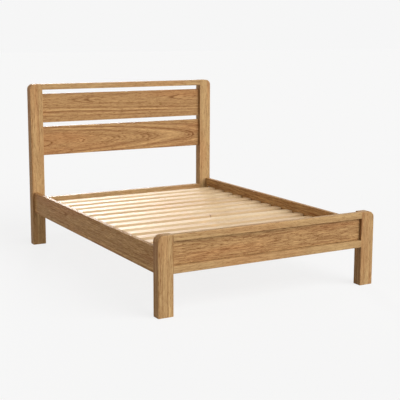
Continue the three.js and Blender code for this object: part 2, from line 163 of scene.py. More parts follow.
def drill(piece, radius, start, end, facets=24):
    """Drills a hole between two points."""
    way = Vector(end) - Vector(start)
    bpy.ops.object.select_all(action="DESELECT")
    bpy.ops.mesh.primitive_cylinder_add(
        vertices=facets,
        radius=radius,
        depth=way.length,
        location=(Vector(start) + Vector(end)) / 2,
        rotation=way.to_track_quat("Z", "Y").to_euler(),
    )
    work(piece, settle(bpy.context.object))


def tenon_block(node, side, room, end_room):
    """The tenon on one side of a rail or board, or its mortise where room is given."""
    thickness, length, under, over = tenons[node]
    low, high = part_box(node)
    middle = (low.y + high.y) / 2
    root = post_inner - (cut_past if room else tenon_sunk)
    tip = post_inner + length + end_room
    return block(
        "tenon",
        (side * root, middle - thickness / 2 - room, low.z + under - room),
        (side * tip, middle + thickness / 2 + room, high.z - over + room),
    )


def post(name, node, side, members, joint_face, into):
    """A post with its mortises, and its holes for the side rail in the joint face. Into is the
    way from that face into the wood, along Y."""
    low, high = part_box(node)
    made = block(name, low, high)
    outer = side * bed_half_width
    inner = side * post_inner
    soften(
        made,
        post_corner,
        corner_steps,
        lambda middle, way: near(middle.x, outer) and near(middle.z, high.z),
    )
    soften(
        made,
        soft_arris,
        arris_steps,
        lambda middle, way: (near(middle.y, low.y) or near(middle.y, high.y))
        and not near(middle.x, inner)
        and not near(middle.z, low.z),
    )
    soften(
        made,
        eased_arris,
        eased_steps,
        lambda middle, way: near(middle.z, low.z)
        or (near(middle.x, inner) and abs(way.x) < square),
    )
    for member in members:
        work(made, tenon_block(member, side, fit, play))
    at = side * side_rail_middle
    for rise, radius, deep in (
        (0, stud_radius, stud_in_post),
        (dowel_from_stud, dowel_radius, dowel_reach),
        (-dowel_from_stud, dowel_radius, dowel_reach),
    ):
        drill(
            made,
            radius + fit,
            (at, joint_face - into * cut_past, joint_height + rise),
            (at, joint_face + into * (deep + play), joint_height + rise),
        )
    return made


class Wire:
    """A shader socket that takes part in sums, so that a pattern is written as an expression."""

    def __init__(self, tree, socket=None):
        self.tree = tree
        self.socket = socket

    def node(self, kind, settings, inputs, output=0):
        """Adds any node, by its type, its settings, and the values or links of its sockets."""
        made = self.tree.nodes.new("ShaderNode" + kind)
        for name, value in settings.items():
            setattr(made, name, value)
        for name, value in inputs.items():
            if isinstance(value, Wire):
                self.tree.links.new(value.socket, made.inputs[name])
            else:
                made.inputs[name].default_value = value
        return Wire(self.tree, made.outputs[output] if made.outputs else None)

    def maths(self, how, other=0.0):
        return self.node("Math", {"operation": how}, {0: self, 1: other})

    def __add__(self, other):
        return self.maths("ADD", other)

    def __sub__(self, other):
        return self.maths("SUBTRACT", other)

    def __mul__(self, other):
        return self.maths("MULTIPLY", other)

    def __truediv__(self, other):
        return self.maths("DIVIDE", other)

    def __rsub__(self, other):
        return self.node("Math", {"operation": "SUBTRACT"}, {0: other, 1: self})

    __radd__ = __add__
    __rmul__ = __mul__

    def root(self):
        return self.maths("SQRT")

    def floor(self):
        return self.maths("FLOOR")

    def fraction(self):
        return self.maths("FRACT")

    def absolute(self):
        return self.maths("ABSOLUTE")

    def rise(self, start, end, low=0.0, high=1.0):
        """A smooth rise from low to high while this value goes from start to end."""
        return self.node(
            "MapRange",
            {"interpolation_type": "SMOOTHSTEP"},
            {0: self, 1: start, 2: end, 3: low, 4: high},
        )

    def split(self):
        """The three parts of a vector."""
        parts = self.node("SeparateXYZ", {}, {0: self}).socket.node
        return [Wire(self.tree, socket) for socket in parts.outputs]

    def join(self, x, y, z):
        """A vector of three parts."""
        return self.node("CombineXYZ", {}, {0: x, 1: y, 2: z})

    def stretch(self, scale):
        """A vector times three numbers."""
        return self.node("VectorMath", {"operation": "MULTIPLY"}, {0: self, 1: scale})

    def noise(self, scale, detail=2.0, roughness=0.5, output=0):
        """Noise over a vector that is first stretched."""
        place = self.stretch(scale)
        inputs = {"Vector": place, "Scale": 1.0, "Detail": detail, "Roughness": roughness}
        return self.node("TexNoise", {}, inputs, output)

    def bands(self, scale, shift=0.0, detail=1.0):
        """Noise over one value, for stripes that follow it."""
        inputs = {"W": self * scale + shift, "Scale": 1.0, "Detail": detail}
        return self.node("TexNoise", {"noise_dimensions": "1D"}, inputs)

    def chance(self, output=0):
        """A random value, or a random colour, for each whole number."""
        return self.node("TexWhiteNoise", {"noise_dimensions": "1D"}, {"W": self}, output)

    def blend(self, low, high, how="MIX"):
        """From one colour to another, by this value."""
        settings = {"data_type": "RGBA", "blend_type": how, "clamp_factor": True}
        return self.node("Mix", settings, {0: self, 6: low, 7: high}, 2)


def new_finish(name):
    """An empty material, and a wire to draw its nodes with."""
    finish = bpy.data.materials.new(name)
    finish.use_nodes = True
    finish.node_tree.nodes.clear()
    return finish, Wire(finish.node_tree)


def surface(finish, wire, colour, roughness, height, relief, gloss=0.5, metal=0.0):
    """Ends a material in its shader. A height of one stands out by the relief, in metres."""
    normal = wire.node("Bump", {}, {"Strength": 1.0, "Distance": relief, "Height": height})
    shader = wire.node(
        "BsdfPrincipled",
        {},
        {
            "Base Color": colour,
            "Roughness": roughness,
            "Metallic": metal,
            "Specular IOR Level": gloss,
            "Normal": normal,
        },
    )
    wire.node("OutputMaterial", {}, {"Surface": shader})
    return finish


# How a pattern whose grain runs along Z is turned so that it runs along each axis
grain_turns = {"X": (0, pi / 2, 0), "Y": (-pi / 2, 0, 0), "Z": (0, 0, 0)}


def log(wire, along, heart, drift):
    """Places across, deep and along in a log, from its heart, which is given as a place across
    and deep. Drift says which length of the log the piece was sawn from."""
    place = wire.node("TexCoord", {}, {}, "Object")
    shift = (-heart[0], -heart[1], drift)
    inputs = {"Vector": place, "Rotation": grain_turns[along], "Location": shift}
    return wire.node("Mapping", {}, inputs)


def oak(name, along, heart, lean, drift, stain, tone, figure, staves=None):
    """Satin oak. Its rings stand round the heart, which leans against the board, so a face that
    cuts them flat shows arches. A stain is a dark and a light colour, and tone is the piece's
    place between them, which on the posts and the side rails also holds painted light and shade.
    Figure is how strongly its rings, its streaks and its short dark ticks show. Staves are given
    as where the first begins and their width."""
    finish, wire = new_finish(name)
    grain = log(wire, along, heart, drift)
    across, deep, length = grain.split()
    run = length - drift
    if staves:
        # Every stave is from another part of the log and has its own tone, with fine glue lines
        start, width = staves
        count = (across + heart[0] - start) / width
        number = count.floor()
        one, two, three = number.chance(1).split()
        across = across + (one - 0.5) * 0.08
        deep = deep + (two - 0.5) * 0.06
        length = length + three * 3
        grain = wire.join(across, deep, length)
        glue = (count.fraction() - 0.5).absolute().rise(0.488, 0.498)
        tone = tone + (two - 0.5) * 0.16 - glue * 0.14

    # The log bends a little, and its rings wobble and aren't alike from year to year
    bend_x, bend_y, _ = grain.noise((5, 5, 1.2), 2.0, 0.5, 1).split()
    across = across + run * lean[0] + (bend_x - 0.5) * 0.02
    deep = deep + run * lean[1] + (bend_y - 0.5) * 0.02
    radius = (across * across + deep * deep).root()
    wobble = grain.noise((60, 60, 5), 2.0)
    rings_per_metre = 360
    rings = radius * rings_per_metre + wobble * 1.2
    phase = rings.fraction()
    year = rings.floor().chance()
    early = phase.rise(0.0, 0.15) * (1.0 - phase.rise(0.2, 0.8)) * year.rise(0.2, 0.9, 0.2, 1.3)
    broken = grain.noise((150, 150, 5), 2.0).rise(0.36, 0.56)
    band = (radius + wobble * 0.003).bands(95, 3.1, 3.0)
    patchy = grain.noise((60, 60, 4.5), 2.0).rise(0.36, 0.6, 0.15, 1.0)

    # Ticks, streaks, fibres and pores are drawn out along the grain, coarse to fine
    tick = grain.noise((300, 300, 24), 2.0, 0.6).rise(0.48, 0.62)
    streak = grain.noise((200, 200, 12), 3.0, 0.65)
    fibre = grain.noise((1100, 1100, 12), 2.0, 0.6)
    pores = grain.noise((1000, 1000, 34), 1.0).rise(0.5, 0.58)
    ringed, streaked, ticked = figure
    shade = (
        (band - 0.5) * patchy * 1.15 * ringed
        + (streak - 0.5) * streaked
        + (fibre - 0.5) * 0.25
        - early * broken * 0.42 * ringed
        - pores * (0.06 + early * 0.2 + (tick - 0.1) * ticked)
        + tone
    )
    dark, light = stain
    colour = shade.blend((*dark, 1), (*light, 1))
    reddish = grain.noise((9, 9, 1.3), 2.0).rise(0.45, 0.68)
    colour = reddish.blend(colour, (0.98, 0.87, 0.82, 1), "MULTIPLY")
    height = 0.7 - pores * 0.5 - early * 0.2 + fibre * 0.15
    roughness = 0.48 + pores * 0.16 + early * 0.08 + (1.0 - shade) * 0.06
    return surface(finish, wire, colour, roughness, height, 0.00035, 0.2)


smooth_up_to = radians(32)


def dress(piece, material, replaced=(), body="frame"):
    """Gives a finished piece its shading and finish, and puts it in its CAD node's place."""
    alone(piece)
    bpy.ops.object.shade_smooth_by_angle(angle=smooth_up_to)
    even = piece.modifiers.new("even shading", "WEIGHTED_NORMAL")
    even.keep_sharp = True
    even.weight = 100
    bpy.ops.object.modifier_apply(modifier=even.name)
    piece.data.materials.clear()
    piece.data.materials.append(material)
    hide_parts(*replaced)
    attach(piece, body)


honey = ((0.22, 0.10, 0.032), (0.62, 0.41, 0.186))
calm = (0.6, 1.1, 0.7)
sides = (("left", -1), ("right", 1))
head_members = [node for node in tenons if node.startswith("headboard")]
head_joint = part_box("headboard_post_left")[0].y

for word, side in sides:
    node = "headboard_post_" + word
    made = post("head_post_" + word, node, side, head_members, head_joint, 1)
    # Each post's tone rises with its side, so the right post is painted lighter and the left one
    # darker: painted light from the right, where the key lamp stands
    finish = oak(
        "oak head post " + word,
        "Z",
        (side * 0.76, head_joint - 0.11),
        (0.004 * side, 0.006),
        2.0 + side,
        honey,
        0.62 + side * 0.06,
        calm,
        (side * post_inner - (post_width if side < 0 else 0), stave_width),
    )
    dress(made, finish, [node])


# Headboard rails. Solid oak, flush with the posts' show faces: a thin one along the top with the
# same soft arris, and a deep one low down, at the height of the side rails. Both are tenoned
# into the posts, and their shoulders are eased, which leaves a fine line at each joint.

small_round = 0.002
round_steps = 3
tenon_chamfer = 0.001


def cross_board(name, node, upper):
    """A rail or board between two posts, with its upper edges rounded as said, its lower ones
    slightly, and a tenon at each end."""
    low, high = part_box(node)
    shoulder = post_inner - fit
    made = block(name, (-shoulder, low.y, low.z), (shoulder, high.y, high.z))
    for level, radius in ((high.z, upper), (low.z, small_round)):
        steps = arris_steps if radius == soft_arris else round_steps
        soften(
            made,
            radius,
            steps,
            lambda middle, way: near(middle.z, level) and abs(way.x) > aligned,
        )
    soften(made, eased_arris, eased_steps, lambda middle, way: near(abs(middle.x), shoulder))
    for side in (-1, 1):
        tenon = tenon_block(node, side, 0, 0)
        end = side * (post_inner + tenons[node][1])
        soften(tenon, tenon_chamfer, 1, lambda middle, way: near(middle.x, end))
        work(made, tenon, "UNION")
    return made


for word, upper, heart, drift in (
    ("top", soft_arris, (1.02, 0.86), 0.4),
    ("bottom", small_round, (0.20, 0.88), 2.9),
):
    node = f"headboard_{word}_rail"
    made = cross_board(f"head_{word}_rail", node, upper)
    finish = oak(f"oak head {word} rail", "X", heart, (0.006, 0.01), drift, honey, 0.58, calm)
    dress(made, finish, [node])


# Headboard boards. Two wide oak boards with arched flat-sawn figure, darker and redder than the
# frame, set back behind the posts' show faces. A thin tenon at each end holds them.

amber = ((0.17, 0.062, 0.016), (0.585, 0.36, 0.152))
lively = (1.0, 0.9, 0.8)

for word, heart, lean, drift in (
    ("upper", (1.02, 1.05), (0.0, -0.022), 0.7),
    ("lower", (0.73, 1.06), (0.004, 0.062), 3.3),
):
    node = f"headboard_{word}_panel"
    made = cross_board(f"head_{word}_board", node, small_round)
    finish = oak(f"oak head {word} board", "X", heart, lean, drift, amber, 0.61, lively)
    dress(made, finish, [node])


# Footboard posts. The same stock and the same rounded outer corner as the headboard's, cut short.
# Their back faces take the side rails, and a groove in each inner face takes the panel.

foot_members = [node for node in tenons if node.startswith("footboard")]
foot_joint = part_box("footboard_post_left")[1].y
panel_low, panel_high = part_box("footboard_panel")
tongue_inset = 0.004


def panel_groove(half_width):
    """The groove for the tongue round the footboard's panel."""
    return block(
        "groove",
        (-half_width, panel_low.y + tongue_inset - fit, panel_low.z - play),
        (half_width, panel_high.y + fit, panel_high.z + play),
    )


for word, side in sides:
    node = "footboard_post_" + word
    made = post("foot_post_" + word, node, side, foot_members, foot_joint, -1)
    work(made, panel_groove(panel_high.x + play))
    # As at the headboard, the right post's tone is a little higher than the left one's: painted
    # light from the right
    finish = oak(
        "oak foot post " + word,
        "Z",
        (side * 0.64, foot_joint + 0.05),
        (0.005, 0.007 * side),
        5.0 + side,
        honey,
        0.56 + side * 0.02,
        calm,
        (side * post_inner - (post_width if side < 0 else 0), stave_width),
    )
    dress(made, finish, [node])


# Footboard rails. Two slim oak rails, flush with the posts' show faces and tenoned into them,
# each grooved along its middle for the panel.

for word, upper, heart, drift in (
    ("top", soft_arris, (0.52, -1.12), 1.6),
    ("bottom", small_round, (0.15, -0.90), 4.1),
):
    node = f"footboard_{word}_rail"
    made = cross_board(f"foot_{word}_rail", node, upper)
    work(made, panel_groove(post_inner - 2 * fit))
    finish = oak(f"oak foot {word} rail", "X", heart, (-0.005, 0.008), drift, honey, 0.61, calm)
    dress(made, finish, [node])


# Footboard panel. Thin oak board with fine straight figure. A tongue all round it is held in the
# rails' and posts' grooves without glue, so that it can swell and shrink, and the step from its
# face down to the tongue leaves a narrow shadow line along the frame.

in_groove = panel_high.x - post_inner
shadow_line = 0.004
fine_ease = 0.0008
panel = block("foot_panel", panel_low + Vector((0, tongue_inset, 0)), panel_high)
pick(panel, "FACE", lambda middle, way: way.y < -aligned)
bpy.ops.mesh.inset(thickness=in_groove + shadow_line)
bpy.ops.mesh.extrude_region_move(TRANSFORM_OT_translate={"value": (0, -tongue_inset, 0)})
bpy.ops.object.mode_set(mode="OBJECT")
soften(panel, fine_ease, eased_steps, lambda middle, way: near(middle.y, panel_low.y))
fine = (0.45, 2.0, 1.5)
finish = oak("oak foot panel", "X", (0.20, -0.90), (0.004, 0.008), 5.6, amber, 0.59, fine)
dress(panel, finish, ["footboard_panel"])


# Side rails. Plain oak boards on edge, set in from the posts' outer faces. A pocket near each end
# opens inwards for the half-moon washer, the nut and a spanner, and the end is drilled for the
# stud and for two dowels.

bore = stud_radius + fit

# The pocket's round end takes the washer with the usual fit, and its straight part a spanner
pocket_radius = 0.0143
pocket_depth = 0.0203
pocket_from_end = 0.046
spanner_room = 0.024
# The side rails' stain is warmer than the frame's oak and their tone lower, which is painted warm
# shade: their outer faces are seen in shade
golden_shaded_stain = ((0.23, 0.10, 0.028), (0.65, 0.41, 0.165))
straight = (0.8, 1.7, 1.0)

for word, side in sides:
    node = "side_rail_" + word
    low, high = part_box(node)
    made = block("side_rail_board_" + word, low, high)
    soften(made, small_round, round_steps, lambda middle, way: abs(way.y) > aligned)
    soften(made, eased_arris, eased_steps, lambda middle, way: near(abs(middle.y), high.y))
    at = side * side_rail_middle
    opening = side * (rail_low.x - cut_past)
    bottom = side * (rail_low.x + pocket_depth)
    for end in (-1, 1):
        face = end * head_joint
        outside = face + end * cut_past
        seat = face - end * pocket_from_end
        pocket = block(
            "pocket",
            (opening, seat, joint_height - pocket_radius),
            (bottom, seat - end * spanner_room, joint_height + pocket_radius),
        )
        work(made, pocket)
        round_end = (opening, seat, joint_height), (bottom, seat, joint_height)
        drill(made, pocket_radius, *round_end, facets=48)
        drill(made, bore, (at, outside, joint_height), (at, seat, joint_height))
        for rise in (-dowel_from_stud, dowel_from_stud):
            level = joint_height + rise
            stop = face - end * (dowel_reach + play)
            drill(made, dowel_radius + fit, (at, outside, level), (at, stop, level))
    # The low tone given here is painted shade, as said at the rails' stain
    finish = oak(
        "oak side rail " + word,
        "Y",
        (side * 0.64, 0.33),
        (0.006 * side, 0.008),
        1.1 + side,
        golden_shaded_stain,
        0.43,
        straight,
    )
    dress(made, finish, [node])


# Corner hardware. A zinc-plated steel stud screws into each post, and a nut on a half-moon washer
# draws the rail up to it. Two fluted beech dowels beside the stud keep the rail from turning.


def turned(name, profile, facets):
    """A round piece drawn up from its foot, ring by ring, from its radii and heights."""
    (radius, height), *rest = profile
    bpy.ops.object.select_all(action="DESELECT")
    bpy.ops.mesh.primitive_circle_add(
        vertices=facets, radius=radius, fill_type="NGON", location=(0, 0, height)
    )
    made = bpy.context.object
    made.name = made.data.name = name
    settle(made)
    bpy.ops.object.mode_set(mode="EDIT")
    bpy.ops.mesh.select_all(action="SELECT")
    for wide, high in rest:
        bpy.ops.mesh.extrude_region_move(TRANSFORM_OT_translate={"value": (0, 0, high - height)})
        bpy.ops.transform.resize(
            value=(wide / radius, wide / radius, 1), center_override=(0, 0, high)
        )
        radius, height = wide, high
    bpy.ops.mesh.select_all(action="SELECT")
    bpy.ops.mesh.normals_make_consistent(inside=False)
    bpy.ops.object.mode_set(mode="OBJECT")
    return made


thread_root = 0.0034
thread_pitch = 0.00125
thread_flank = 0.45 * thread_pitch
thread_crest = 0.1 * thread_pitch
end_chamfer = 0.0007


def threaded(name, length):
    """An M8 rod with its helical thread, standing on the origin, chamfered at both ends."""
    bpy.ops.object.select_all(action="DESELECT")
    bpy.ops.mesh.primitive_plane_add(size=stud_radius)
    rod = bpy.context.object
    rod.name = rod.data.name = name
    bpy.ops.object.mode_set(mode="EDIT")
    bpy.ops.mesh.select_mode(type="VERT")
    bpy.ops.mesh.select_all(action="SELECT")
    bpy.ops.mesh.merge(type="CENTER")
    bpy.ops.transform.translate(value=(thread_root, 0, 0))
    out = stud_radius - thread_root
    for step in ((out, 0, thread_flank), (0, 0, thread_crest), (-out, 0, thread_flank)):
        bpy.ops.mesh.extrude_vertices_move(TRANSFORM_OT_translate={"value": step})
    bpy.ops.object.mode_set(mode="OBJECT")
    spare_turns = 2
    turn = rod.modifiers.new("thread", "SCREW")
    turn.steps = turn.render_steps = 20
    turn.screw_offset = thread_pitch
    turn.iterations = int(length / thread_pitch) + 2 * spare_turns
    alone(rod)
    bpy.ops.object.modifier_apply(modifier=turn.name)
    bpy.ops.object.mode_set(mode="EDIT")
    bpy.ops.mesh.select_all(action="SELECT")
    bpy.ops.mesh.remove_doubles(threshold=merge_within)

    # The rod is cut a little too long at both ends, so that none of its faces lies in one plane
    # with the ends of the tapered blank that it is then trimmed to
    spare = spare_turns * thread_pitch
    overrun = 0.53 * thread_pitch
    for cut, way in ((spare - overrun, -1), (spare + length + overrun, 1)):
        bpy.ops.mesh.select_all(action="SELECT")
        bpy.ops.mesh.bisect(
            plane_co=(0, 0, cut), plane_no=(0, 0, way), use_fill=True, clear_outer=True
        )
    bpy.ops.mesh.select_all(action="SELECT")
    bpy.ops.mesh.normals_make_consistent(inside=False)
    bpy.ops.object.mode_set(mode="OBJECT")
    rod.location = (0, 0, -spare)
    settle(rod)
    narrow = thread_root - end_chamfer / 2
    wide = stud_radius + end_chamfer / 2
    rise = 1.5 * end_chamfer
    tapered = [(narrow, 0), (wide, rise), (wide, length - rise), (narrow, length)]
    work(rod, turned("tapered", tapered, 40), "INTERSECT")
    return rod


def copy_of(piece, name, place, turn=(0, 0, 0)):
    """A copy of a piece with its own mesh, turned and set in place."""
    alone(piece)
    bpy.ops.object.duplicate(linked=False)
    made = bpy.context.object
    made.name = made.data.name = name
    made.rotation_euler = turn
    made.location = place
    return settle(made)


def zinc(name):
    """Bright zinc plate on steel: bluish grey, a little cloudy, with fine scratches."""
    finish, wire = new_finish(name)
    place = wire.node("TexCoord", {}, {}, "Object")
    cloud = place.noise((160, 160, 160), 3.0, 0.6)
    scratch = place.noise((2600, 2600, 260), 2.0, 0.7)
    colour = cloud.rise(0.35, 0.7).blend((0.50, 0.52, 0.55, 1), (0.66, 0.67, 0.68, 1))
    roughness = 0.26 + cloud * 0.16 + scratch * 0.1
    return surface(finish, wire, colour, roughness, scratch, 0.00002, metal=1.0)


zinc_plate = zinc("zinc plate")
low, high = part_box("bed_stud_head_right")
stud_first = threaded("stud", high.y - low.y)

# A hexagon with the corners of both faces turned away, bored for the thread
low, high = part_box("bed_nut_head_right")
nut_thickness = high.y - low.y
nut_corner = 0.0075
nut_face = 0.0061
nut_blank = 0.0078
nut_chamfer = 0.0009
nut_ease = 0.0005
bpy.ops.object.select_all(action="DESELECT")
bpy.ops.mesh.primitive_cylinder_add(
    vertices=6, radius=nut_corner, depth=nut_thickness, location=(0, 0, nut_thickness / 2)
)
nut_first = settle(bpy.context.object)
barrel = [
    (nut_face, 0),
    (nut_blank, nut_chamfer),
    (nut_blank, nut_thickness - nut_chamfer),
    (nut_face, nut_thickness),
]
work(nut_first, turned("barrel", barrel, 48), "INTERSECT")
drill(nut_first, bore, (0, 0, -cut_past), (0, 0, nut_thickness + cut_past))
soften(
    nut_first,
    nut_ease,
    1,
    lambda middle, way: middle.xy.length < bore
    and (near(middle.z, 0) or near(middle.z, nut_thickness)),
)

# A disc sawn in half, bored through its flat, with every edge of the half disc eased
washer_radius = 0.014
washer_width = 0.014
washer_ease = 0.0006
washer_first = turned("washer", [(washer_radius, 0), (washer_radius, washer_width)], 64)
alone(washer_first)
bpy.ops.object.mode_set(mode="EDIT")
bpy.ops.mesh.select_all(action="SELECT")
bpy.ops.mesh.bisect(plane_co=(0, 0, 0), plane_no=(0, 1, 0), use_fill=True, clear_inner=True)
bpy.ops.object.mode_set(mode="OBJECT")
soften(
    washer_first,
    washer_ease,
    eased_steps,
    lambda middle, way: near(middle.z, 0) or near(middle.z, washer_width) or near(middle.y, 0),
)
half_way = washer_width / 2
drill(washer_first, bore, (0, -cut_past, half_way), (0, washer_radius + cut_past, half_way))

# A dowel with chamfered ends, and a flute pressed into every second side
low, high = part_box("dowel_upper_head_right")
dowel_length = high.y - low.y
dowel_facets = 32
dowel_end = 0.004
dowel_chamfer = 0.0012
flute_edge = 0.00015
flute_depth = 0.0004
dowel_first = turned(
    "dowel",
    [
        (dowel_end, 0),
        (dowel_radius, dowel_chamfer),
        (dowel_radius, dowel_length - dowel_chamfer),
        (dowel_end, dowel_length),
    ],
    dowel_facets,
)


def is_flute(middle, way):
    """True for every second long side of the dowel."""
    share = Vector((1, 0)).angle_signed(middle.xy) / (2 * pi)
    number = int(round(share * dowel_facets - 0.5))
    return near(middle.z, dowel_length / 2) and abs(way.z) < square and number % 2 == 0


pick(dowel_first, "FACE", is_flute)
bpy.ops.mesh.inset(thickness=flute_edge, depth=-flute_depth, use_individual=True)
bpy.ops.object.mode_set(mode="OBJECT")


def beech(name):
    """Pale beech with short brown flecks along its grain."""
    finish, wire = new_finish(name)
    grain = wire.node("TexCoord", {}, {}, "Object")
    fleck = grain.noise((1500, 260, 1500), 2.0, 0.6).rise(0.52, 0.66)
    cloud = grain.noise((40, 12, 40), 2.0)
    tone = 0.2 + cloud * 0.6 - fleck * 0.35
    colour = tone.blend((0.50, 0.31, 0.16, 1), (0.78, 0.60, 0.39, 1))
    return surface(finish, wire, colour, 0.55 + fleck * 0.15, 1.0 - fleck, 0.0001)


beech_dowel = beech("beech")

for end_word, end in (("foot", -1), ("head", 1)):
    for word, side in sides:
        corner = f"{end_word}_{word}"
        at = side * side_rail_middle
        for first, kind in ((stud_first, "stud"), (nut_first, "nut")):
            node = f"bed_{kind}_{corner}"
            low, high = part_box(node)
            place = (at, low.y if end > 0 else high.y, joint_height)
            made = copy_of(first, f"{kind}_{corner}", place, (-end * pi / 2, 0, 0))
            dress(made, zinc_plate, [node])
        flat = end * (head_joint - pocket_from_end)
        turn = (0, pi / 2, 0) if end > 0 else (0, pi / 2, pi)
        place = (at - end * washer_width / 2, flat, joint_height)
        made = copy_of(washer_first, "washer_" + corner, place, turn)
        dress(made, zinc_plate, ["bed_washer_" + corner])
        for level in ("upper", "lower"):
            node = f"dowel_{level}_{corner}"
            low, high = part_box(node)
            place = (at, low.y, (low.z + high.z) / 2)
            made = copy_of(dowel_first, f"fluted_{node}", place, (-pi / 2, 0, 0))
            dress(made, beech_dowel, [node])

for first in (stud_first, nut_first, washer_first, dowel_first):
    bpy.data.objects.remove(first)


# Slat ledges. Planed pine battens along the inside of the side rails, held by a pan-headed screw
# under every second gap between the slats. The CAD shapes are right, so they get a finish only.


def pine(name, along, heart, lean, drift, row=None):
    """Planed pine with narrow brown late rings and a few knots. Where a row is given, it is how
    far apart like pieces lie, and each of them is sawn from another part of the tree."""
    finish, wire = new_finish(name)
    grain = log(wire, along, heart, drift)
    across, deep, length = grain.split()
    run = length - drift
    board_tone = 0.0
    if row:
        # The pieces are told apart by their places along Y, and each has its own tone
        place = wire.node("TexCoord", {}, {}, "Object")
        number = (place.split()[1] / row).floor()
        one, two, three = number.chance(1).split()
        deep = (deep + heart[1]) - (number + 0.5) * row + (two - 0.5) * 0.09
        across = across + one * 0.07
        length = length + three * 5 + number * 2.3
        board_tone = (three - 0.5) * 0.7
        grain = wire.join(across, deep, length)

    # Knots lie scattered along the board, and the rings swing out round each of them
    knot = wire.node(
        "TexVoronoi",
        {"voronoi_dimensions": "2D"},
        {"Vector": wire.join(length * 2.6, deep * 2.6, 0.0), "Scale": 1.0},
    )
    around = 1.0 - knot.rise(0.0, 0.16)
    inside = 1.0 - knot.rise(0.016, 0.024)
    bend_x, bend_y, _ = grain.noise((3, 3, 1.1), 2.0, 0.5, 1).split()
    across = across + run * lean[0] + (bend_x - 0.5) * 0.05
    deep = deep + run * lean[1] + (bend_y - 0.5) * 0.05
    radius = (across * across + deep * deep).root() + around * 0.014
    rings_per_metre = 330
    rings = radius * rings_per_metre + grain.noise((40, 40, 4), 2.0) * 0.8
    late = rings.fraction().rise(0.35, 0.9) * (1.0 - rings.fraction().rise(0.93, 1.0))
    year = rings.floor().chance()
    fibre = grain.noise((700, 700, 8), 2.0, 0.6)
    cloud = grain.noise((14, 14, 1.4), 2.0)
    tone = (
        0.25
        + late * (0.25 + year * 0.35)
        + (cloud - 0.5) * 0.5
        + (fibre - 0.5) * 0.3
        + around * 0.12
        + board_tone * 0.5
    )
    colour = tone.blend((0.78, 0.60, 0.37, 1), (0.50, 0.29, 0.125, 1))
    colour = inside.blend(colour, (0.20, 0.085, 0.032, 1))
    roughness = 0.55 - late * 0.1 + fibre * 0.1 - inside * 0.15
    height = fibre * 0.4 + late * 0.3
    return surface(finish, wire, colour, roughness, height, 0.0003)


# A wood screw's radii from its point up to its shank, then how far apart the ridges of its thread
# are, and how far each of them slopes off to either side
screw_point = 0.0002
screw_tip = 0.0012
screw_core = 0.0013
screw_ridge = 0.0019
screw_shank = 0.0017
ridge_spacing = 0.002
ridge_slope = 0.0003

# The cross recess: half its length and half its width where it starts above the head, how far
# above that is, how deep it is, and how much narrower both are at its bottom
recess_length = 0.0021
recess_width = 0.00045
recess_above = 0.001
recess_depth = 0.0016
recess_taper = (0.4, 0.8, 1)


def wood_screw(name, head, length):
    """A cross-headed wood screw that points down, with the underside of its head at the origin,
    or its face there if the head is sunk. Its thread is a row of ridges on a slimmer core."""
    thread_top = -0.35 * length
    ridges = []
    for count in range(int(0.55 * length / ridge_spacing)):
        level = thread_top - ridge_spacing * (count + 0.5)
        ridges += [
            (screw_core, level + ridge_slope),
            (screw_ridge, level),
            (screw_core, level - ridge_slope),
        ]
    ridges.reverse()
    tip = [(screw_point, -length), (screw_tip, -0.94 * length)]
    made = turned(name, [*tip, *ridges, (screw_shank, thread_top), *head], 16)
    face = head[-1][1]
    for turn in (0, pi / 2):
        arm = block(
            "recess",
            (-recess_length, -recess_width, face - recess_depth),
            (recess_length, recess_width, face + recess_above),
        )
        pick(arm, "FACE", lambda middle, way: way.z < -aligned)
        bpy.ops.transform.resize(value=recess_taper, center_override=(0, 0, face))
        bpy.ops.object.mode_set(mode="OBJECT")
        arm.rotation_euler = (0, 0, turn)
        work(made, settle(arm))
    return made


def join_up(pieces, name):
    """Makes one piece of several like ones."""
    bpy.ops.object.select_all(action="DESELECT")
    for piece in pieces:
        piece.select_set(True)
    bpy.context.view_layer.objects.active = pieces[0]
    bpy.ops.object.join()
    made = bpy.context.object
    made.name = made.data.name = name
    return made


# Radii and heights from the shank up to the rim and over the crown
pan_head = [
    (screw_shank, -0.0001),
    (0.0040, 0.0),
    (0.0041, 0.0008),
    (0.0037, 0.0018),
    (0.0026, 0.0025),
]
pan_screw = wood_screw("pan screw", pan_head, length=0.030)
slat_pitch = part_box("slat_02")[0].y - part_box("slat_01")[0].y
ledge_low, ledge_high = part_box("slat_ledge_right")
ledge_middle = (ledge_low.z + ledge_high.z) / 2

for word, side in sides:
    finish = pine("pine ledge " + word, "Y", (side * 0.62, 0.25), (0.01, 0.012), 1.5 + side)
    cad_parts["slat_ledge_" + word].material_slots[0].material = finish
    screws = []
    for count in range(-3, 4):
        spin = 0.9 * count
        place = (side * ledge_low.x, count * 2 * slat_pitch, ledge_middle)
        turn = (pi / 2, spin, -side * pi / 2)
        screws.append(copy_of(pan_screw, "ledge screw", place, turn))
    dress(join_up(screws, "ledge_screws_" + word), zinc_plate)


# Centre rail and its brackets. A planed pine bearer under the middle of the slats hangs at each
# end in a bracket of folded zinc-plated plate, which pan-headed screws hold to the cross rail.

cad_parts["centre_rail"].material_slots[0].material = pine(
    "pine centre rail", "Y", (0.05, 0.20), (0.008, -0.01), 6.2
)

plate = 0.0025
inside_bend = 0.0015
bracket_low, bracket_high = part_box("centre_rail_bracket_foot")
bracket_reach, bracket_height = (bracket_high - bracket_low).yz
ear_end = bracket_high.x
ear_width = 0.024
ear_middle = ear_end - ear_width / 2
cheek = ear_end - ear_width - plate / 2
ear_notch = inside_bend + plate
ear_hole = 0.0024
hole_inset = 0.010
hole_levels = (hole_inset, bracket_height - hole_inset)

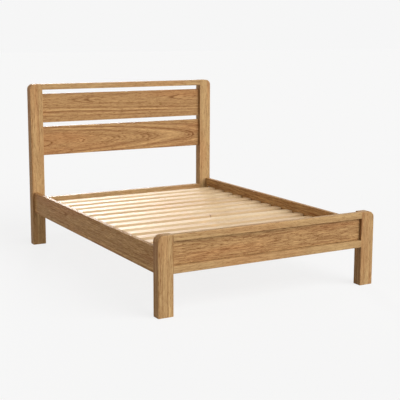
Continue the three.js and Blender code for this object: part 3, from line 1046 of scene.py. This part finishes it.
# The sheet is laid out along the middle of the plate. Of a blank only the floor and the cheeks are
# kept, a notch is cut at their lower front corners, and the ears are pulled out above it.
bracket = block("bracket", (-cheek, plate / 2, plate / 2), (cheek, bracket_reach, bracket_height))
pick(bracket, "FACE", lambda middle, way: abs(way.y) > aligned or way.z > aligned)
bpy.ops.mesh.delete(type="ONLY_FACE")
for cut in ((0, 1, 0), (0, 0, 1)):
    bpy.ops.mesh.select_all(action="SELECT")
    bpy.ops.mesh.bisect(plane_co=(0, ear_notch, ear_notch), plane_no=cut)
bpy.ops.object.mode_set(mode="OBJECT")
pick(bracket, "FACE", lambda middle, way: middle.y < ear_notch and middle.z < ear_notch)
bpy.ops.mesh.delete(type="FACE")
bpy.ops.object.mode_set(mode="OBJECT")
for side in (-1, 1):
    fold = side * cheek
    pull = (side * (ear_end - cheek), 0, 0)
    pick(bracket, "EDGE", lambda middle, way: near(middle.y, plate / 2) and near(middle.x, fold))
    bpy.ops.mesh.extrude_edges_move(TRANSFORM_OT_translate={"value": pull})
    bpy.ops.object.mode_set(mode="OBJECT")
alone(bracket)
bpy.ops.object.mode_set(mode="EDIT")
bpy.ops.mesh.select_all(action="SELECT")
bpy.ops.mesh.normals_make_consistent(inside=False)
bpy.ops.object.mode_set(mode="OBJECT")
soften(
    bracket,
    inside_bend + plate / 2,
    4,
    lambda middle, way: near(abs(middle.x), cheek)
    and (near(middle.z, plate / 2) or (near(middle.y, plate / 2) and abs(way.z) > aligned)),
)
thick = bracket.modifiers.new("thick", "SOLIDIFY")
thick.thickness = plate
thick.offset = 0
thick.use_even_offset = True
alone(bracket)
bpy.ops.object.modifier_apply(modifier=thick.name)
for side in (-1, 1):
    at = side * ear_middle
    for level in hole_levels:
        drill(bracket, ear_hole, (at, -cut_past, level), (at, plate + cut_past, level))

for word, end in (("foot", -1), ("head", 1)):
    node = "centre_rail_bracket_" + word
    low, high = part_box(node)
    back = low.y if end < 0 else high.y
    turn = (0, 0, 0 if end < 0 else pi)
    made = copy_of(bracket, "hanger_" + word, (0, back, low.z), turn)
    dress(made, zinc_plate, [node])
    screws = []
    for side in (-1, 1):
        for level in hole_levels:
            spin = 0.7 * side + 60 * level
            place = (side * ear_middle, back - end * plate, low.z + level)
            turn = (end * pi / 2, spin, 0)
            screws.append(copy_of(pan_screw, "hanger screw", place, turn))
    dress(join_up(screws, "hanger_screws_" + word), zinc_plate)

bpy.data.objects.remove(bracket)
bpy.data.objects.remove(pan_screw)


# Centre leg. A square pine leg stands under the middle of the centre rail. A threaded bolt joins
# the two, and a flanged insert is screwed into the leg's lower end for the levelling foot.

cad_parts["centre_leg"].material_slots[0].material = pine(
    "pine leg", "Z", (0.03, 0.04), (0.004, 0.006), 9.4
)
low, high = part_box("centre_leg_bolt")
bolt = threaded("leg_bolt", high.z - low.z)
bolt.location = (0, 0, low.z)
dress(settle(bolt), zinc_plate, ["centre_leg_bolt"])

# The insert's flange with its eased rims, then three barbs that bite into the wood
low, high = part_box("leg_insert")
flange_radius = high.x
flange_top = low.z + 0.0015
barb_core = 0.0047
barb_edge = 0.0055
barb_spacing = 0.0030
profile = [
    (flange_radius - 0.0009, low.z),
    (flange_radius, low.z + 0.0004),
    (flange_radius, flange_top - 0.0003),
    (flange_radius - 0.0003, flange_top),
    (barb_core, flange_top),
]
for count in range(3):
    start = flange_top + barb_spacing * count
    profile += [
        (barb_core, start + 0.0008),
        (barb_edge, start + 0.0014),
        (barb_core, start + barb_spacing),
    ]
profile.append((barb_core, high.z))
insert = turned("flanged_insert", profile, 48)
drill(insert, bore, (0, 0, low.z - cut_past), (0, 0, high.z + cut_past))
dress(insert, zinc_plate, ["leg_insert"])


# Levelling foot. A moulded nylon pad on a threaded steel stud, which screws up and down in the
# leg's insert so that the middle of the bed stands firm on an uneven floor.


def moulded(name):
    """Black nylon with the fine stipple of its mould."""
    finish, wire = new_finish(name)
    place = wire.node("TexCoord", {}, {}, "Object")
    stipple = place.noise((1400, 1400, 1400), 2.0, 0.6)
    cloud = place.noise((70, 70, 70), 2.0)
    colour = (cloud * 0.6 + stipple * 0.4).blend((0.016, 0.016, 0.017, 1), (0.045, 0.044, 0.043, 1))
    return surface(finish, wire, colour, 0.42 + stipple * 0.25, stipple, 0.00008)


# The pad's radii and heights: a hollowed underside, a rounded rim, a cone up to its collar, and
# down again inside the socket that holds the stud
pad = turned(
    "levelling_pad",
    [
        (0.0150, 0.0010),
        (0.0158, 0.0),
        (0.0188, 0.0),
        (0.0196, 0.0003),
        (0.0200, 0.0011),
        (0.0200, 0.0042),
        (0.0197, 0.0050),
        (0.0188, 0.0056),
        (0.0130, 0.0084),
        (0.0105, 0.0100),
        (0.0094, 0.0116),
        (0.0090, 0.0132),
        (0.0086, 0.0138),
        (0.0080, 0.0140),
        (0.0048, 0.0140),
        (0.0043, 0.0136),
        (0.0043, 0.0040),
    ],
    64,
)
dress(pad, moulded("moulded nylon"), ["levelling_foot_pad"], "levelling_foot")
low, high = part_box("levelling_foot_stud")
stud = threaded("levelling_stud", high.z - low.z)
stud.location = (0, 0, low.z)
dress(settle(stud), zinc_plate, ["levelling_foot_stud"], "levelling_foot")


# Slats. Fourteen planed pine slats with eased edges lie across the ledges and the centre rail,
# each held by three countersunk screws.

slat_count = 14
low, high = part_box("slat_01")
half_width = (high.y - low.y) / 2
slat_thickness = high.z - low.z
slat_first = block("slat", (low.x, -half_width, 0), (high.x, half_width, slat_thickness))
soften(slat_first, small_round, round_steps, lambda middle, way: abs(way.x) > aligned)
soften(slat_first, fine_ease, 1, lambda middle, way: near(abs(middle.x), high.x))

# Each slat's holes are over the middles of the ledges and of the centre rail
over_ledge = (ledge_low.x + ledge_high.x) / 2
screw_places = (-over_ledge, 0.0, over_ledge)
slat_hole = 0.0019
sink_radius = 0.0039
sink_depth = 0.0027
sink_above = 0.0004
for x in screw_places:
    drill(slat_first, slat_hole, (x, 0, -cut_past), (x, 0, slat_thickness + cut_past), facets=16)
    countersink = [
        (slat_hole * 0.9, slat_thickness - sink_depth),
        (sink_radius, slat_thickness),
        (sink_radius + sink_above, slat_thickness + sink_above),
    ]
    tool = turned("countersink", countersink, 24)
    tool.location = (x, 0, 0)
    work(slat_first, settle(tool))

flat_head = [(screw_shank, -0.0026), (0.0036, -0.0003), (0.0037, -0.0002)]
flat_screw = wood_screw("flat screw", flat_head, length=0.038)
slat_screws = {x: [] for x in screw_places}
slat_finish = pine("pine slats", "X", (0.25, 0.0), (0.006, 0.012), 0.0, slat_pitch)

for count in range(slat_count):
    node = f"slat_{count + 1:02d}"
    low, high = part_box(node)
    middle = (low.y + high.y) / 2
    made = copy_of(slat_first, f"deck_{node}", (0, middle, low.z))
    dress(made, slat_finish, [node])
    for x in screw_places:
        spin = 1.1 * count + x
        place = (x, middle, high.z)
        slat_screws[x].append(copy_of(flat_screw, "slat screw", place, (0, 0, spin)))
for word, x in zip(("left", "centre", "right"), screw_places):
    dress(join_up(slat_screws[x], "slat_screws_" + word), zinc_plate)

bpy.data.objects.remove(slat_first)
bpy.data.objects.remove(flat_screw)


# Studio. A plain pale floor and backdrop and even light all round, with a big soft lamp high on
# the right in front, a weak and slightly warm one on the left, and a low one behind for the bed's
# back. The camera stands about where the photograph was taken from, and tilts down a little.

floor_size = 120
backdrop_white = 0.922
even_light = 0.28
plain = (1.0, 1.0, 1.0)
warm = (1.0, 0.88, 0.74)

# Each lamp's strength, where it shines from, its softness in degrees, and its tint
lamps = {
    "key": (3.35, Vector((0.42, -0.78, 0.56)), 60, plain),
    "fill": (0.66, Vector((-0.95, 0.15, 0.30)), 30, warm),
    "rear": (1.5, Vector((0.35, 0.95, 0.14)), 12, plain),
}


def shown(wire):
    """One for what the camera sees, straight or in gloss or glass, and nothing for other light."""
    rays = wire.node("LightPath", {}, {})
    camera_ray, glossy_ray, through_ray = (
        Wire(wire.tree, rays.socket.node.outputs[ray])
        for ray in ("Is Camera Ray", "Is Glossy Ray", "Is Transmission Ray")
    )
    return (camera_ray + glossy_ray + through_ray).maths("MINIMUM", 1.0)


# The floor that is seen is the backdrop's white, a part of which is light that the object can
# shade. The floor that throws light back on the object is a duller one. The rear lamp isn't
# counted in the floor's light, because the bed keeps it off the floor in front.
shaded_share = 0.14
seen_floor = 0.98
lighting_floor = 0.45
floor_light = even_light
for name in ("key", "fill"):
    power, source, _, _ = lamps[name]
    floor_light += power / pi * source.normalized().z
glow_strength = (backdrop_white - shaded_share * seen_floor * floor_light) / (1 - shaded_share)

floor_finish, wire = new_finish("studio floor")
dull = wire.node("BsdfDiffuse", {}, {"Color": (lighting_floor, lighting_floor, lighting_floor, 1)})
matt = wire.node("BsdfDiffuse", {}, {"Color": (seen_floor, seen_floor, seen_floor, 1)})
glow = wire.node("Emission", {}, {"Color": (1, 1, 1, 1), "Strength": glow_strength})
pale = wire.node("MixShader", {}, {0: shaded_share, 1: glow, 2: matt})
mixed = wire.node("MixShader", {}, {0: shown(wire), 1: dull, 2: pale})
wire.node("OutputMaterial", {}, {"Surface": mixed})

bpy.ops.object.select_all(action="DESELECT")
bpy.ops.mesh.primitive_plane_add(size=floor_size, location=(0, 0, 0))
floor = bpy.context.object
floor.name = floor.data.name = "floor"
floor.data.materials.append(floor_finish)

world = bpy.data.worlds.new("studio")
bpy.context.scene.world = world
world.use_nodes = True
world.node_tree.nodes.clear()
wire = Wire(world.node_tree)
lit = wire.node("Background", {}, {"Color": (1, 1, 1, 1), "Strength": even_light})
pale = wire.node("Background", {}, {"Color": (1, 1, 1, 1), "Strength": backdrop_white})
mixed = wire.node("MixShader", {}, {0: shown(wire), 1: lit, 2: pale})
wire.node("OutputWorld", {}, {"Surface": mixed})

for name, (power, source, softness, tint) in lamps.items():
    bulb = bpy.data.lights.new(name, "SUN")
    bulb.energy = power
    bulb.color = tint
    bulb.angle = radians(softness)
    lamp = bpy.data.objects.new(name, bulb)
    lamp.rotation_euler = source.to_track_quat("Z", "Y").to_euler()
    bpy.context.collection.objects.link(lamp)

optics = bpy.data.cameras.new("camera")
optics.lens = 82.398
optics.shift_y = -0.05
camera = bpy.data.objects.new("camera", optics)
camera.location = (-2.8423, -5.2035, 1.509)
camera.rotation_euler = (radians(80.815), radians(-0.160), radians(-29.448))
bpy.context.collection.objects.link(camera)
bpy.context.scene.camera = camera
bpy.context.scene.view_settings.view_transform = "Standard"
